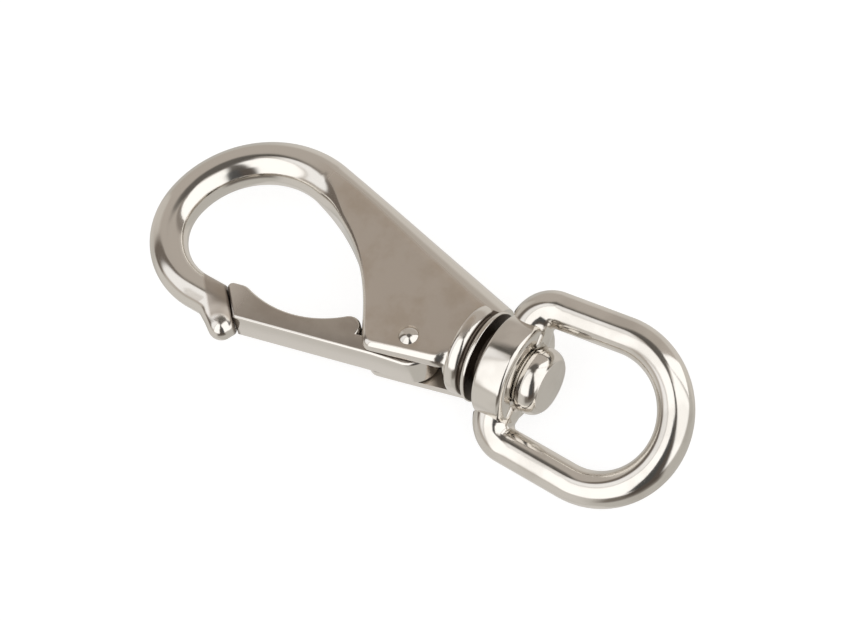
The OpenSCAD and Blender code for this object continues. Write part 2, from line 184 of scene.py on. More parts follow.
bumpLift = 0.00003
waveScale, fineScale, grainScale = 260, 2600, 5200
polished = {"colour": (0.80, 0.765, 0.715, 1), "deep": (0.72, 0.685, 0.635, 1), "rough": 0.13, "cloud": 140}
satin = {"colour": (0.72, 0.655, 0.585, 1), "warm": (0.65, 0.57, 0.485, 1), "rough": 0.36}
# a darker copy of the satin: painted shade on the gate's faces
gateShadedSatin = {"colour": (0.57, 0.52, 0.465, 1), "warm": (0.50, 0.445, 0.39, 1), "rough": 0.34}
satinCloud = 150
springColours = (0.32, 0.30, 0.28, 1), (0.20, 0.18, 0.16, 1)
gapShade = (0.16, 0.13, 0.105, 1)  # painted shade in the closed gaps, between collar and eye and between nose and gate, with the roughness below
gapShadeRough = 0.3


def startMaterial(name):
    material = bpy.data.materials.new(name)
    tree = emptyTree(material)
    return material, tree, node(tree, "ShaderNodeTexCoord", output="Object")


def finishMetal(material, tree, colour, rough, height=None):
    values = {"Base Color": colour, "Roughness": rough, "Metallic": 1.0}
    if height is not None:
        values["Normal"] = node(tree, "ShaderNodeBump", None, {"Height": height, "Strength": 1.0, "Distance": bumpLift})
    toOutput(tree, node(tree, "ShaderNodeBsdfPrincipled", None, values))
    return material


def polishedRough(cloud):
    return polished["rough"] * (0.75 + 0.5 * cloud)


def polishedPlate(name, dullFrom=None, gapBelow=None):
    material, tree, where = startMaterial(name)
    along = partOf(tree, where, "X")
    cloud = noise(tree, where, polished["cloud"], 3)
    colour = blendColour(tree, rampUp(tree, cloud, 0.42, 0.66), polished["colour"], polished["deep"])
    rough = polishedRough(cloud)
    height = noise(tree, where, waveScale, 1) + 0.05 * noise(tree, where, fineScale, 2)
    if dullFrom is not None:  # an end face left satin
        dull = stepUp(tree, along, dullFrom, 0.0001)
        rough = rough + 0.22 * dull
        height = height + 0.15 * dull * noise(tree, where, grainScale, 2)
    # painted shade below this x, in the closed gap
    if gapBelow is not None:
        inGap = 1 - stepUp(tree, along, gapBelow, 0.00005)
        colour = blendColour(tree, inGap, colour, gapShade)
        rough = rough + gapShadeRough * inGap
    return finishMetal(material, tree, colour, rough, height)


# Masks where nose and gate shut against each other: the first, painted shade in the shut gap, is past a plane beside
# the nose's face, towards the gate with side 1 and towards the nose with side -1, and neck is the bar between face and
# bead, satin with some painted shade.
def meetingMasks(tree, where, along, side, offset):
    corner, soft = toPlace @ (nose + Vector((4, 6, 0))), 0.0002
    reach = measure(tree, "DOT_PRODUCT", where, faceNormal) - ((toPlace @ nose).dot(faceNormal) + offset / 1000)
    near = (1 - stepUp(tree, along, corner.x, soft)) * (1 - stepUp(tree, partOf(tree, where, "Y"), corner.y, soft))
    shutShade = near * rampUp(tree, side * reach, 0.0, 0.0004)
    apart = measure(tree, "DISTANCE", where, toPlace @ beadC)
    neck = near * rampUp(tree, reach, -0.0034, -0.0028) * rampUp(tree, apart, 0.0024, 0.0030)
    return shutShade, neck


def satinPlate(name, values, side, offset, gap=None):  # satin on the flats, polished on the rest
    material, tree, where = startMaterial(name)
    up = partOf(tree, node(tree, "ShaderNodeTexCoord", output="Normal"), "Z")
    along = partOf(tree, where, "X")
    flat = rampUp(tree, up.maths("ABSOLUTE", up), 0.93, 0.985) * rampUp(tree, along, -0.069, -0.060)
    cloud = noise(tree, where, satinCloud, 4, 0.6)
    colour = blendColour(tree, rampUp(tree, cloud, 0.40, 0.68), values["colour"], values["warm"])
    shutShade, neck = meetingMasks(tree, where, along, side, offset)
    if side > 0:  # the nose has the dull neck: satin, darkened a little with painted shade
        flat = 1 - (1 - flat) * (1 - neck)
        colour = blendColour(tree, 0.35 * neck, colour, gapShade)
    colour = blendColour(tree, flat, polished["colour"], colour)
    rough = flat * (values["rough"] + 0.12 * (cloud - 0.5)) + (1 - flat) * polishedRough(cloud)
    if gap is not None:  # painted gap shade from this x on and inside this radius
        radius = measure(tree, "LENGTH", node(tree, "ShaderNodeVectorMath", {"operation": "MULTIPLY"},
                                              {0: where, 1: (0, 1, 1)}))
        inGap = stepUp(tree, along, gap[0], 0.0001) * (1 - stepUp(tree, radius, gap[1], 0.00005))
        colour = blendColour(tree, inGap, colour, gapShade)
        rough = rough + gapShadeRough * inGap
    # painted shade where nose and gate shut together
    colour = blendColour(tree, 0.85 * shutShade, colour, gapShade)
    height = noise(tree, where, waveScale, 1) + 0.25 * flat * noise(tree, where, grainScale, 2)
    return finishMetal(material, tree, colour, rough, height)


def springSteel(name):
    material, tree, where = startMaterial(name)
    cloud = noise(tree, where, 900, 3)
    return finishMetal(material, tree, blendColour(tree, cloud, *springColours), 0.25 + 0.2 * cloud)


def closeUp(bm):
    bmesh.ops.remove_doubles(bm, verts=bm.verts, dist=0.0005)
    bmesh.ops.dissolve_degenerate(bm, edges=bm.edges, dist=0.0002)
    rim = [e for e in bm.edges if e.is_boundary]
    if rim:
        bmesh.ops.holes_fill(bm, edges=rim, sides=0)
    bmesh.ops.recalc_face_normals(bm, faces=bm.faces)
    return bm


def vertsOf(made):  # the vertices among what a bmesh operator gives back
    return [g for g in made if isinstance(g, bmesh.types.BMVert)]


def shift(bm, way, verts=None):
    bmesh.ops.translate(bm, verts=bm.verts if verts is None else verts, vec=way)
    return bm


def toObject(bm, name):
    mesh = bpy.data.meshes.new(name)
    bm.to_mesh(mesh)
    bm.free()
    piece = bpy.data.objects.new(name, mesh)
    bpy.context.scene.collection.objects.link(piece)
    return piece


def bentGrid(rings):  # a grid bent onto closed rings, one after the other
    bm = bmesh.new()
    along, around = len(rings) - 1, len(rings[0])
    bmesh.ops.create_grid(bm, x_segments=along, y_segments=around, size=0.5)
    for v in bm.verts:
        i, j = round((v.co.x + 0.5) * along), round((v.co.y + 0.5) * around)
        v.co = rings[i][j % around]
    return closeUp(bm)


def softProfile(corners):  # [radius, x, cut] corners, each cut rounded over its length
    points = []
    for k, (r, x, cut) in enumerate(corners):
        here = Vector((r, x))
        if cut == 0 or k in (0, len(corners) - 1):
            points.append(here)
            continue
        ends = []
        for other in (corners[k - 1], corners[k + 1]):
            way = Vector(other[:2]) - here
            ends.append(here + way.normalized() * min(cut, way.length * 0.49))
        for i in range(6):
            t = i / 5
            points.append(ends[0] * (1 - t) ** 2 + here * 2 * t * (1 - t) + ends[1] * t * t)
    return points


def turned(profile, axis="X", steps=144):  # [radius, distance along the axis] points, spun about X or Z
    bm = bmesh.new()
    if axis == "X":
        verts = [bm.verts.new((p[1], p[0], 0)) for p in profile]
        line = (1, 0, 0)
    else:
        verts = [bm.verts.new((p[0], 0, p[1])) for p in profile]
        line = (0, 0, 1)
    edges = [bm.edges.new(pair) for pair in zip(verts, verts[1:])]
    bmesh.ops.spin(bm, geom=verts + edges, cent=(0, 0, 0), axis=line, angle=2 * math.pi,
                   steps=steps, use_merge=True)
    return closeUp(bm)


def cylinder(radius, low, high, axis="X"):
    return turned([Vector((0, low)), Vector((radius, low)), Vector((radius, high)), Vector((0, high))], axis, 96)


def prism(corners, half):  # a flat outline in the XY plane, pulled out to both sides
    bm = bmesh.new()
    face = bm.faces.new([bm.verts.new((x, y, -half)) for x, y in corners])
    grown = bmesh.ops.extrude_face_region(bm, geom=[face])
    shift(bm, (0, 0, 2 * half), vertsOf(grown["geom"]))
    bmesh.ops.recalc_face_normals(bm, faces=bm.faces)
    return bm


def carve(piece, operation, bm):  # joins a solid to a piece, or cuts it away
    tool = toObject(bm, "tool")
    modifier = piece.modifiers.new("carve", "BOOLEAN")
    modifier.operation, modifier.solver, modifier.object = operation, "EXACT", tool
    bpy.context.view_layer.update()
    made = bpy.data.meshes.new_from_object(piece.evaluated_get(bpy.context.evaluated_depsgraph_get()))
    piece.modifiers.clear()
    piece.data = made
    bpy.data.objects.remove(tool)


def finishPiece(piece, body, cadNode, material, sharp=32):
    piece.data.transform(toPlace)
    piece.data.materials.clear()
    piece.data.materials.append(material)
    piece.data.polygons.foreach_set("use_smooth", [True] * len(piece.data.polygons))
    piece.data.set_sharp_from_angle(angle=math.radians(sharp))
    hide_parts(cadNode)
    if body:
        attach(piece, body)
    print(piece.name, "has", sum(len(p.vertices) - 2 for p in piece.data.polygons), "triangles")
    return piece


hook = {"noseBar": 6.4, "throatBar": 7.8, "bowlRadius": 12.9, "crownRadius": 16.7, "crownReach": 48.8,
        "crownRise": 0.6, "noseLength": 7.3, "noseDip": 3.5, "blendAngle": 173.7, "faceAngle": -48.5,
        "bowlShare": 0.35, "bead": 4.6, "beadDrop": 2.75, "beadRoot": 4.8, "beadRootBack": 2.8,
        "beadBlend": 1.3, "faceEdge": 0.35, "cornerAngle": 52, "cornerSoft": 0.9}
shank = {"thick": 11.6, "pivotThick": 10.9, "spineFall": 15.7, "heelDrop": 9.9, "heelBack": 18.3,
         "heelRise": 12, "edge": 1.5, "backEdge": 0.5, "heelRadius": 1.8, "throatAngle": -50,
         "throatLead": 17.7, "throatTail": 4.4, "roundFade": 0.45, "frontFade": 0.2, "collarEdge": 3.3,
         "collarFade": 1.6, "throatShare": 0.62, "heelShare": 0.7}
collarX = -2.0
boreEndX = -6.6
pivotDrop = 4.9
pivot = Vector((-14.1, -pivotDrop, 0))
gateSlope = 10.5

crownC = Vector((-hook["crownReach"], hook["crownRise"], 0))
bowlC = crownC + polar(hook["crownRadius"] - hook["bowlRadius"], hook["blendAngle"])
bowlEndAngle = 270 - hook["noseDip"]
nose = bowlC + polar(hook["bowlRadius"], bowlEndAngle) + polar(hook["noseLength"], -hook["noseDip"])
noseDir = polar(1, -hook["noseDip"])
faceNormal = polar(1, hook["faceAngle"] + 90)
beadC = nose - faceNormal * hook["bead"] / 2 + polar(hook["beadDrop"], hook["faceAngle"])
beadRootC = nose - faceNormal * hook["beadRootBack"]
crownEnd = 90 - shank["spineFall"]
spineStart = crownC + polar(hook["crownRadius"] + hook["throatBar"] / 2, crownEnd)
throatStart = crownC + polar(hook["crownRadius"] - hook["throatBar"] / 2, crownEnd)
shankEndX = collarX - 0.6
heel = Vector((collarX - shank["heelBack"], -shank["heelDrop"], 0))
heelTurn = shank["heelRise"] - shank["throatAngle"]
throatEnd = heel - polar(shank["heelRadius"] * math.tan(math.radians(heelTurn / 2)), shank["throatAngle"])
heelC = throatEnd + polar(shank["heelRadius"], shank["throatAngle"] + 90)
throatCurve = [throatStart, throatStart + polar(shank["throatLead"], crownEnd - 90),
               throatEnd - polar(shank["throatTail"], shank["throatAngle"]), throatEnd]
ringPoints = 112


def spineAt(x):
    fall = math.tan(math.radians(shank["spineFall"]))
    return Vector((x, spineStart.y - (x - spineStart.x) * fall, 0))


def sectionRing(inner, outer, half, outerR, frontR, backR):  # a rounded slab section, inner side first
    width = (outer - inner).length
    along = (outer - inner) / width
    corners = [((backR, backR - half), backR, 180), ((width - outerR, outerR - half), outerR, 270),
               ((width - outerR, half - outerR), outerR, 0), ((frontR, half - frontR), frontR, 90)]
    spare = 3  # a corner gets as many points as one of this much more radius
    parts = []
    for k, (centre, radius, start) in enumerate(corners):
        parts.append((math.pi / 2 * (radius + spare), centre, radius, start))
        after, afterR, afterStart = corners[(k + 1) % 4]
        a = Vector(centre) + polar(radius, start + 90).xy
        b = Vector(after) + polar(afterR, afterStart).xy
        parts.append(((b - a).length, a, b, None))
    total = sum(p[0] for p in parts)
    ring, k, passed = [], 0, 0
    for j in range(ringPoints):
        want = total * j / ringPoints
        while want > passed + parts[k][0] and k < len(parts) - 1:
            passed += parts[k][0]
            k += 1
        size, a, b, start = parts[k]
        t = (want - passed) / max(size, 1e-9)
        p = mix(a, b, t) if start is None else Vector(a) + polar(b, start + 90 * t).xy
        ring.append(inner + along * p[0] + Vector((0, 0, p[1])))
    return ring


def barRadius(share):  # 0 at the nose and 1 at the throat
    return mix(hook["noseBar"], hook["throatBar"], share) / 2


def barRing(centre, reach, angle, share):  # a round section on an arc
    radius, middle = barRadius(share), centre + polar(reach, angle)
    return sectionRing(middle - polar(radius, angle), middle + polar(radius, angle), radius, radius, radius, radius)


def smoothMax(a, b, soft):
    h = max(0, 1 - abs(a - b) / soft)
    return max(a, b) + h * h * soft / 4


def outsideNose(p):  # distance outside the bar and its bead, melted together
    away = p - nose
    bar = (away - noseDir * away.dot(noseDir)).length - barRadius(0)
    corner = (p - beadC).dot(polar(1, hook["faceAngle"] + hook["cornerAngle"])) - hook["bead"] / 2
    bar = smoothMax(bar, corner, hook["cornerSoft"])
    stem = beadC - beadRootC
    t = max(0, min(1, (p - beadRootC).dot(stem) / stem.length_squared))
    bead = (p - beadRootC - stem * t).length - mix(hook["beadRoot"], hook["bead"], t) / 2
    return -smoothMax(-bar, -bead, hook["beadBlend"])


def noseRing(back, angle, shrink):  # rays from the bar's axis, halved down to where they come out
    centre = nose - noseDir * back
    ring = []
    for j in range(ringPoints):
        b = math.radians(180 + 360 * j / ringPoints)
        ray = polar(math.cos(b), angle) + Vector((0, 0, math.sin(b)))
        low, high = 1.5, 9.0
        for halving in range(24):
            middle = (low + high) / 2
            if outsideNose(centre + ray * middle) < 0:
                low = middle
            else:
                high = middle
        ring.append(centre + ray * (low - shrink))
    return ring


def shankRing(inner, share, t):  # t runs from 0 to 1 along the throat, and share along the spine
    outer = spineAt(mix(spineStart.x, shankEndX, share))
    x = (inner.x + outer.x) / 2
    if x < pivot.x:
        half = mix(hook["throatBar"], shank["pivotThick"], (x - spineStart.x) / (pivot.x - spineStart.x)) / 2
    else:
        half = mix(shank["pivotThick"], shank["thick"], (x - pivot.x) / (shankEndX - pivot.x)) / 2
    fade = min(1, t / shank["roundFade"])
    front, back = ease(t / shank["frontFade"]), fade ** 0.7
    edge = mix(shank["edge"], shank["collarEdge"],
               ease((inner.x - boreEndX + shank["collarFade"]) / shank["collarFade"]))
    return sectionRing(inner, outer, half, half * mix(1, 0.96, fade), mix(half, edge, front),
                       mix(half, shank["backEdge"], back))


def hookRings():
    rings = []
    edge, slant = hook["faceEdge"], math.cos(math.radians(45))
    for i in range(7):
        a = math.radians(90 * i / 6)
        rings.append(noseRing(edge * (1 - math.cos(a)) / slant, hook["faceAngle"], edge * (1 - math.sin(a))))
    for i in range(1, 41):
        t = i / 40
        angle = mix(hook["faceAngle"], -90 - hook["noseDip"], ease(t))
        rings.append(noseRing(mix(edge / slant, hook["noseLength"], t), angle, 0))
    for i in range(1, 60):
        t = i / 60
        angle = mix(bowlEndAngle, hook["blendAngle"], t)
        rings.append(barRing(bowlC, hook["bowlRadius"], angle, hook["bowlShare"] * t))
    for i in range(70):
        t = i / 70
        angle = mix(hook["blendAngle"], crownEnd, t)
        rings.append(barRing(crownC, hook["crownRadius"], angle, mix(hook["bowlShare"], 1, t)))
    a, b, c, d = throatCurve
    for i in range(71):
        t = i / 70
        inner = a * (1 - t) ** 3 + b * 3 * t * (1 - t) ** 2 + c * 3 * t * t * (1 - t) + d * t ** 3
        rings.append(shankRing(inner, shank["throatShare"] * t, t))
    for i in range(1, 15):
        t = i / 14
        inner = heelC + polar(shank["heelRadius"], shank["throatAngle"] - 90 + heelTurn * t)
        rings.append(shankRing(inner, mix(shank["throatShare"], shank["heelShare"], t), 1))
    lowerStart = heelC + polar(shank["heelRadius"], shank["heelRise"] - 90)
    lowerEnd = heel + (shankEndX - heel.x) * Vector((1, math.tan(math.radians(shank["heelRise"])), 0))
    for i in range(1, 25):
        t = i / 24
        rings.append(shankRing(lowerStart.lerp(lowerEnd, t), mix(shank["heelShare"], 1, t), 1))
    return rings


collar = {"rim": 8.15, "rimWidth": 0.6, "rimCut": 0.35, "thrust": 5.0, "thrustX": -0.15, "neck": 5.3,
          "crest": 8.05, "crestEdge": 1.1, "grooveBack": 1.7, "groove": 7.25}


def collarProfile():
    rearX, grooveX, domeX = boreEndX - 0.5, collarX - collar["grooveBack"], boreEndX + 0.1
    rim, cut, rimX = collar["rim"], collar["rimCut"], collarX - collar["rimWidth"]
    edge, crest, groove = collar["crestEdge"], collar["crest"], collar["groove"]
    thrust, thrustX = collar["thrust"], collar["thrustX"]
    points = [Vector((0, rearX)), Vector((collar["neck"], rearX)), Vector((collar["neck"], domeX))]
    for i in range(10):
        a = math.radians(10 * i)
        points.append(Vector((crest - edge * (1 - math.sin(a)), domeX + edge * (1 - math.cos(a)))))
    for i in range(1, 25):
        a = math.radians(90 * i / 24)
        points.append(Vector((mix(groove, crest, math.cos(a)), mix(domeX + edge, grooveX, math.sin(a)))))
    points += softProfile([
        (groove, grooveX, 0), (groove - 0.15, grooveX + 0.25, 0.1), (rim - cut, rimX - cut, 0.12),
        (rim, rimX, 0.2), (rim, collarX, 0.22), (thrust, collarX, 0.1), (thrust, thrustX, 0.15),
        (0, thrustX, 0)])[1:]
    return points


slot = {"half": 3.6, "open": -14, "top": 3.7, "topBack": -8.4, "roof": 2.2, "roofFront": -9.9, "back": -31.3}
springAxis = {"back": 8.0, "pocketY": -3.2, "pocketDeep": 6, "radius": 2.05, "seatDeep": 0.9}
hookHoles = {"pin": 3.01, "rivet": 1.31, "head": 1.9, "headSeat": 5.35}
collarGap = (-0.02385, 0.00792)  # where the painted gap shade starts, and its radius, in metres
noseShadeFrom, gateShadeFrom = -0.55, 0.55  # how far from the nose's face and from the gate's tip the painted shut-gap shade starts
clear = 3  # how far a cutting solid reaches past what it cuts
seatY = ((slot["roof"] + pivotDrop + springAxis["back"] * math.sin(math.radians(gateSlope)))
         / math.cos(math.radians(gateSlope)) + springAxis["seatDeep"])


def onSpring(y):  # a point on the spring's line
    return pivot + turnAbout("Z", gateSlope, 3) @ Vector((-springAxis["back"], y, 0))


def alongSpring(bm, y):  # a Z solid turned to stand on the spring's line
    lay = Matrix.Translation(onSpring(y)) @ turnAbout("Z", gateSlope) @ turnAbout("X", -90)
    bmesh.ops.transform(bm, matrix=lay, verts=bm.verts)
    return bm


def springHole(y, deep):
    return alongSpring(cylinder(springAxis["radius"], 0, deep, "Z"), y)


def pivotHole(radius, low, high):
    return shift(cylinder(radius, low, high, "Z"), pivot)


def makeHook():
    piece = toObject(bentGrid(hookRings()), "hookBody")
    carve(piece, "UNION", turned(collarProfile()))
    carve(piece, "DIFFERENCE", prism([
        (boreEndX, slot["open"]), (boreEndX, slot["top"]), (slot["topBack"], slot["top"]),
        (slot["roofFront"], slot["roof"]), (slot["back"], slot["roof"]), (slot["back"], slot["open"])], slot["half"]))
    carve(piece, "DIFFERENCE", cylinder(hookHoles["pin"], boreEndX - 1, 1))
    carve(piece, "DIFFERENCE", springHole(seatY - clear, clear))
    carve(piece, "DIFFERENCE", pivotHole(hookHoles["rivet"], -12, 12))
    for low, high in ((-9, -hookHoles["headSeat"]), (hookHoles["headSeat"], 9)):
        carve(piece, "DIFFERENCE", pivotHole(hookHoles["head"], low, high))
    return finishPiece(piece, "hook", "hook_body", satinPlate("satinNickel", satin, 1, noseShadeFrom, collarGap))


makeHook()


eye = {"endRadius": 13.1, "bar": 6.3, "armBar": 7.6, "flare": 4.1, "bend": 4.2, "turn": 31,
       "boss": 9.15, "bossLength": 5.8, "bossFace": 6.5, "seat": 5.95, "bore": 3.08}
joint = {"x": (5.2, 7.9), "y": (7.7, 10.3), "z": 3.4}  # a box around the corner of an arm and the boss
eyeGap = -0.01985  # below this x in metres the boss gets painted gap shade


def bowRings():
    armX, turnBy = eye["bossLength"] / 2, 90 + eye["flare"]
    flare = math.radians(eye["flare"])
    normal, bowC = polar(1, turnBy), Vector((eyeReach, 0, 0))
    legStart = bowC + normal * eye["endRadius"]
    run = (legStart.x + eye["bend"] * math.sin(flare) - armX - eye["bend"]) / math.cos(flare)
    bendC = legStart - polar(run, eye["flare"]) - normal * eye["bend"]
    thick, thin = eye["armBar"] / 2, eye["bar"] / 2
    steps = [(Vector((armX, mix(2, bendC.y, i / 4), 0)), 90, thick) for i in range(4)]
    for i in range(25):
        a = mix(180, turnBy, i / 24)
        steps.append((bendC + polar(eye["bend"], a), a - 90, mix(thick, thin, i / 24)))
    bendEnd = steps[-1][0]
    for i in range(1, 9):
        steps.append((bendEnd.lerp(legStart, i / 9), eye["flare"], thin))
    for i in range(61):
        a = mix(turnBy, 0, i / 60)
        steps.append((bowC + polar(eye["endRadius"], a), a - 90, thin))
    steps += [(Vector((p.x, -p.y, 0)), -180 - heading, r) for p, heading, r in reversed(steps[:-1])]
    rings = []
    for centre, heading, radius in steps:
        side, ring = polar(radius, heading + 90), []
        for k in range(72):
            a = 2 * math.pi * k / 72
            ring.append(centre + side * math.cos(a) + Vector((0, 0, radius * math.sin(a))))
        rings.append(ring)
    return rings


def meltJoint(piece):  # softens the corner where each arm leaves the boss
    bm = bmesh.new()
    bm.from_mesh(piece.data)
    bmesh.ops.triangulate(bm, faces=bm.faces)
    turn = turnAbout("X", -eye["turn"], 3)

    def near(v, grow):
        p = turn @ v.co
        inX = joint["x"][0] - grow < p.x < joint["x"][1] + grow
        return inX and joint["y"][0] - grow < abs(p.y) < joint["y"][1] + grow and abs(p.z) < joint["z"] + grow

    for length in (0.8, 0.4):
        edges = [e for e in bm.edges if e.calc_length() > length and (near(e.verts[0], 0.5) or near(e.verts[1], 0.5))]
        bmesh.ops.subdivide_edges(bm, edges=edges, cuts=1)
        bmesh.ops.triangulate(bm, faces=bm.faces)
    for grow in (-0.2, 0, 0, 0.2, 0.2, 0.4):
        verts = [v for v in bm.verts if near(v, grow)]
        for again in range(2):
            bmesh.ops.smooth_vert(bm, verts=verts, factor=0.5, use_axis_x=True, use_axis_y=True, use_axis_z=True)
    bm.to_mesh(piece.data)
    bm.free()


def makeEye():
    piece = toObject(bentGrid(bowRings()), "swivelEye")
    piece.data.transform(turnAbout("X", eye["turn"]))
    boss, long, face = eye["boss"], eye["bossLength"], eye["bossFace"]
    bore, seat = eye["bore"], eye["seat"]
    carve(piece, "DIFFERENCE", cylinder(boss, -3, 0))  # the arms are faced off behind the boss
    carve(piece, "UNION", turned(softProfile([
        (0, 0, 0), (boss - 0.3, 0, 0.2), (boss, 0.3, 0.25), (boss, 5.2, 0.5), (boss - 1.0, 5.75, 0.45),
        (face, long, 0.3), (0, long, 0)])))
    meltJoint(piece)
    carve(piece, "DIFFERENCE", turned(softProfile([
        (0, -2, 0), (bore, -2, 0), (bore, 5, 0), (seat, 5, 0), (seat, 5.6, 0.15), (seat + 0.6, 6.4, 0),
        (0, 9, 0)])))
    return finishPiece(piece, "eye", "swivel_eye", polishedPlate("eyeNickel", gapBelow=eyeGap), 28)


makeEye()


pin = {"shank": 3.0, "buttonX": 5.15, "core": 3.9, "belly": 2.02, "middle": 7.6, "reach": 2.6, "face": 4.72,
       "faceX": 10.0, "dome": 0.55, "inner": 3.4, "innerThick": 1.2}
pinDull = -0.00992  # from this x in metres on the button's face is satin


def makePin():
    innerX = boreEndX - pin["innerThick"]
    profile = softProfile([
        (0, innerX, 0), (pin["inner"], innerX, 0.25), (pin["inner"], boreEndX, 0),
        (pin["shank"], boreEndX, 0), (pin["shank"], pin["buttonX"], 0)])
    for i in range(33):  # the button's side bellies out
        along = mix(pin["buttonX"], pin["faceX"] - 0.06, i / 32)
        swell = math.sqrt(1 - ((along - pin["middle"]) / pin["reach"]) ** 2)
        profile.append(Vector((pin["core"] + pin["belly"] * swell, along)))
    for i in range(13):  # its face is a low dome
        t = i / 12
        profile.append(Vector((pin["face"] * (1 - t), pin["faceX"] + pin["dome"] * (1 - (1 - t) ** 2))))
    piece = toObject(turned(profile), "swivelPin")
    return finishPiece(piece, "hook", "swivel_pin", polishedPlate("pinNickel", dullFrom=pinDull))


makePin()


gate = {"width": 6.3, "web": 4.1, "tail": 4.4, "tipHeight": 6.4, "tipRadius": 2.8, "recess": 18.5,
        "lobeBack": 11.4, "lobeHeight": 6.1, "lobeRadius": 2.2, "shelf": 3.1, "cornerRadius": 0.9,
        "tipFlat": 1.5, "tipGap": 0.1, "bevel": 0.5, "webEnd": -5.8, "bore": 1.38}


def angleOf(v):
    return math.degrees(math.atan2(v.y, v.x))


def gateOutline():  # the pivot is at 0 and the tip towards -X
    tipAngle = hook["faceAngle"] - gateSlope
    away = nose + faceNormal * gate["tipGap"] - pivot
    tip = Vector((away.dot(polar(1, gateSlope)), away.dot(polar(1, gateSlope + 90)), 0))
    webY = -gate["web"]
    shelfY = webY + gate["shelf"]

    def tipFaceX(y):
        return tip.x + (y - tip.y) / math.tan(math.radians(tipAngle))

    cornerY = webY + gate["tipHeight"] - gate["cornerRadius"]
    cornerC = Vector((tipFaceX(cornerY) + gate["cornerRadius"] / math.cos(math.radians(tipAngle + 90)), cornerY, 0))
    tipC = Vector((cornerC.x + gate["tipFlat"], webY + gate["tipHeight"] - gate["tipRadius"], 0))
    lobeC = Vector((-gate["lobeBack"], webY + gate["lobeHeight"] - gate["lobeRadius"], 0))
    gap = (lobeC - tipC).length
    toTip, toLobe = gate["recess"] + gate["tipRadius"], gate["recess"] + gate["lobeRadius"]
    along = (gap ** 2 + toTip ** 2 - toLobe ** 2) / (2 * gap)
    rise = math.sqrt(toTip ** 2 - along ** 2)
    line = (lobeC - tipC) / gap
    recessC = tipC + line * along + Vector((-line.y, line.x, 0)) * rise
    tailJoin = 180 - math.degrees(math.asin(shelfY / gate["tail"]))
    lobeJoin = math.degrees(math.asin((shelfY - lobeC.y) / gate["lobeRadius"]))
    lobeTop, tipTop = angleOf(recessC - lobeC), angleOf(recessC - tipC)
    arcs = [  # centre, radius, first and last angle, steps
        (Vector((0, 0, 0)), gate["tail"], -90, tailJoin, 60), (lobeC, gate["lobeRadius"], lobeJoin, lobeTop, 18),
        (recessC, gate["recess"], lobeTop + 180, tipTop + 180, 48), (tipC, gate["tipRadius"], tipTop, 90, 10),
        (cornerC, gate["cornerRadius"], 90, tipAngle + 270, 14)]
    corners = [Vector((tipFaceX(webY), webY, 0)), Vector((gate["webEnd"], webY, 0))]
    return corners, arcs


def makeGate():
    bm = bmesh.new()
    corners, arcs = gateOutline()
    line = [bm.verts.new(c) for c in corners]
    bm.edges.new(line)
    last = line[-1]
    for centre, radius, start, end, steps in arcs:
        first = bm.verts.new(centre + polar(radius, start))
        bm.edges.new((last, first))
        swept = bmesh.ops.spin(bm, geom=[first], cent=centre, axis=(0, 0, 1), angle=math.radians(end - start),
                               steps=steps)
        last = vertsOf(swept["geom_last"])[0]
    bm.edges.new((last, line[0]))
    bmesh.ops.remove_doubles(bm, verts=bm.verts, dist=0.01)
    bmesh.ops.contextual_create(bm, geom=list(bm.edges))
    shift(bm, (0, 0, -gate["width"] / 2))
    grown = bmesh.ops.extrude_face_region(bm, geom=list(bm.faces))
    shift(bm, (0, 0, gate["width"]), vertsOf(grown["geom"]))
    bmesh.ops.recalc_face_normals(bm, faces=bm.faces)
    rims = [e for e in bm.edges if abs(e.verts[0].co.z - e.verts[1].co.z) < 1e-6]
    bmesh.ops.bevel(bm, geom=rims, offset=gate["bevel"], offset_type="OFFSET", segments=5, profile=0.5,
                    affect="EDGES", material=-1, clamp_overlap=False)
    bmesh.ops.transform(bm, matrix=Matrix.Translation(pivot) @ turnAbout("Z", gateSlope), verts=bm.verts)
    piece = toObject(closeUp(bm), "gate")
    carve(piece, "DIFFERENCE", pivotHole(gate["bore"], -8, 8))
    carve(piece, "DIFFERENCE", springHole(springAxis["pocketY"], springAxis["pocketDeep"]))
    return finishPiece(piece, "thumb_gate", "gate", satinPlate("gateShadedNickel", gateShadedSatin, -1, gate["tipGap"] + gateShadeFrom))


makeGate()


rivet = {"shank": 1.3, "head": 1.75, "height": 0.8, "seat": 5.35}


def makeRivet():
    ball = (rivet["head"] ** 2 + rivet["height"] ** 2) / (2 * rivet["height"])
    spread, ballZ = math.asin(rivet["head"] / ball), rivet["seat"] + rivet["height"] - ball
    half = [Vector((rivet["shank"], rivet["seat"]))]
    for i in range(11):
        a = spread * (1 - i / 10)
        half.append(Vector((ball * math.sin(a), ballZ + ball * math.cos(a))))
    profile = [Vector((p.x, -p.y)) for p in reversed(half)] + half
    piece = toObject(shift(turned(profile, "Z", 64), pivot), "gateRivet")
    return finishPiece(piece, "hook", "gate_rivet", polishedPlate("rivetNickel"))


makeRivet()


spring = {"wire": 0.25, "coil": 1.6, "turns": 7, "endGap": 0.325}


def makeSpring():
    low, high = springAxis["pocketY"] + spring["endGap"], seatY - spring["endGap"]
    steps = spring["turns"] * 28
    tilt = math.atan((high - low) / (2 * math.pi * spring["coil"] * spring["turns"]))
    bm = bmesh.new()
    ring = bmesh.ops.create_circle(bm, cap_ends=False, radius=spring["wire"], segments=14)["verts"]
    bmesh.ops.transform(bm, verts=ring, matrix=Matrix.Translation((spring["coil"], 0, 0))
                        @ Matrix.Rotation(tilt, 4, "X") @ turnAbout("X", 90))
    bmesh.ops.spin(bm, geom=list(bm.verts) + list(bm.edges), cent=(0, 0, 0), axis=(0, 0, 1),
                   dvec=(0, 0, (high - low) / steps), angle=-2 * math.pi * spring["turns"], steps=steps)
    closeUp(bm)
    alongSpring(bm, low)
    piece = finishPiece(toObject(bm, "gateSpring"), None, "gate_spring", springSteel("springSteel"))
    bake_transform(piece)


makeSpring()
print("pieces made")


